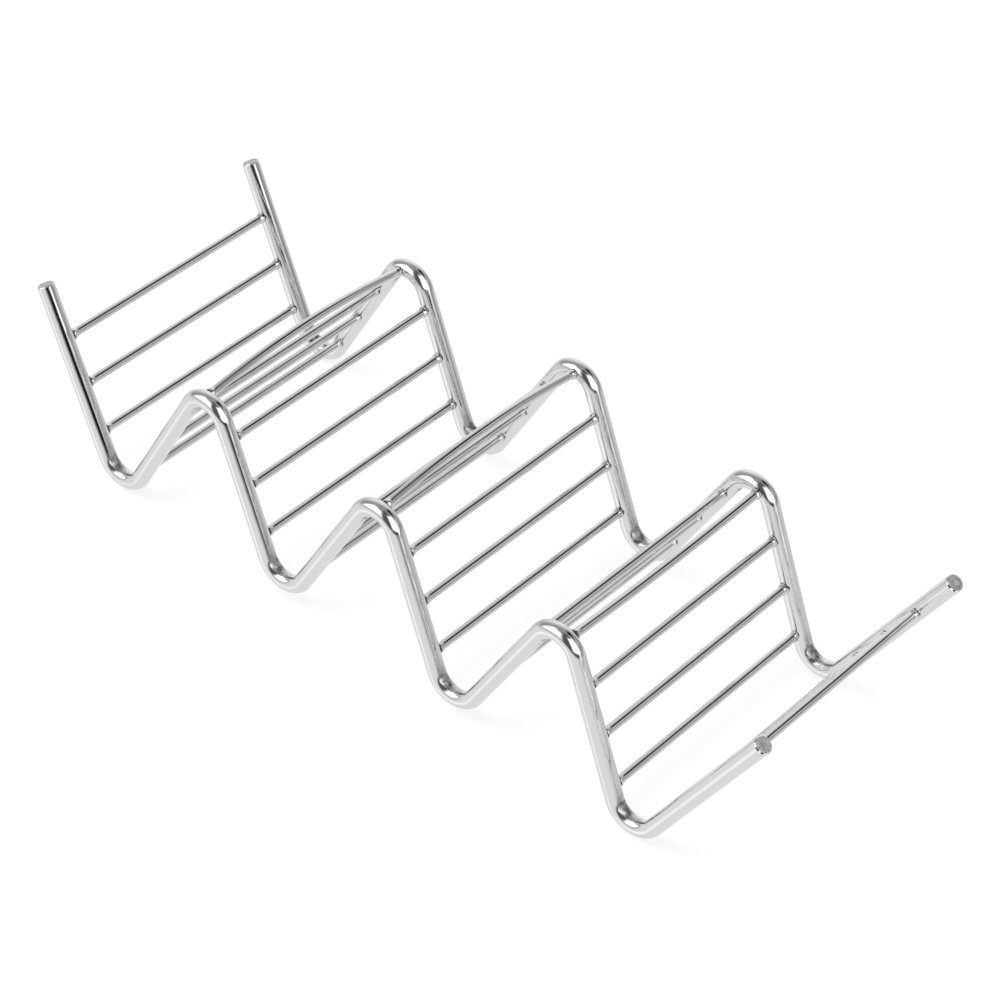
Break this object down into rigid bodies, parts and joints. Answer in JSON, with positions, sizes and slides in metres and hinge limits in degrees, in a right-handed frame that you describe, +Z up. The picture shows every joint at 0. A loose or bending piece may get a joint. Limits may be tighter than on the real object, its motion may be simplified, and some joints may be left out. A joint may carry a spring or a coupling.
{
  "type": "taco holder",
  "caption": "Standing wire rack for filled tacos: two thick side wires bent into one zigzag, joined by thin cross rods, so that each valley is an open slot for a taco.",
  "frame": {"origin": "on the standing surface, under the middle of the rack", "axes": "+X along the row of slots, from the end with the shorter legs to the end with the longer legs; +Y across the rack, along the cross rods, away from the viewer of the picture; +Z up"},
  "size_m": [0.2994, 0.102, 0.0687],
  "materials": {
    "side_wire": "polished stainless steel wire with a mirror-like surface; matt sawn ends",
    "cross_rod": "polished stainless steel rod with small smooth welds at both ends"
  },
  "bodies": {
    "root": {"near_side_wire_left": "side_wire", "near_side_wire_right": "side_wire", "far_side_wire_left": "side_wire", "far_side_wire_right": "side_wire", "rod_left_leg_1": "cross_rod", "rod_left_leg_2": "cross_rod", "rod_left_leg_3": "cross_rod", "rod_left_peak_1": "cross_rod", "rod_left_peak_2": "cross_rod", "rod_left_peak_3": "cross_rod", "rod_left_peak_4": "cross_rod", "rod_left_peak_5": "cross_rod", "rod_left_peak_6": "cross_rod", "rod_left_peak_7": "cross_rod", "rod_middle_peak_1": "cross_rod", "rod_middle_peak_2": "cross_rod", "rod_middle_peak_3": "cross_rod", "rod_middle_peak_4": "cross_rod", "rod_middle_peak_5": "cross_rod", "rod_middle_peak_6": "cross_rod", "rod_middle_peak_7": "cross_rod", "rod_right_peak_1": "cross_rod", "rod_right_peak_2": "cross_rod", "rod_right_peak_3": "cross_rod", "rod_right_peak_4": "cross_rod", "rod_right_peak_5": "cross_rod", "rod_right_peak_6": "cross_rod", "rod_right_peak_7": "cross_rod", "rod_right_leg_1": "cross_rod", "rod_right_leg_2": "cross_rod", "rod_right_leg_3": "cross_rod"}
  },
  "joints": []
}
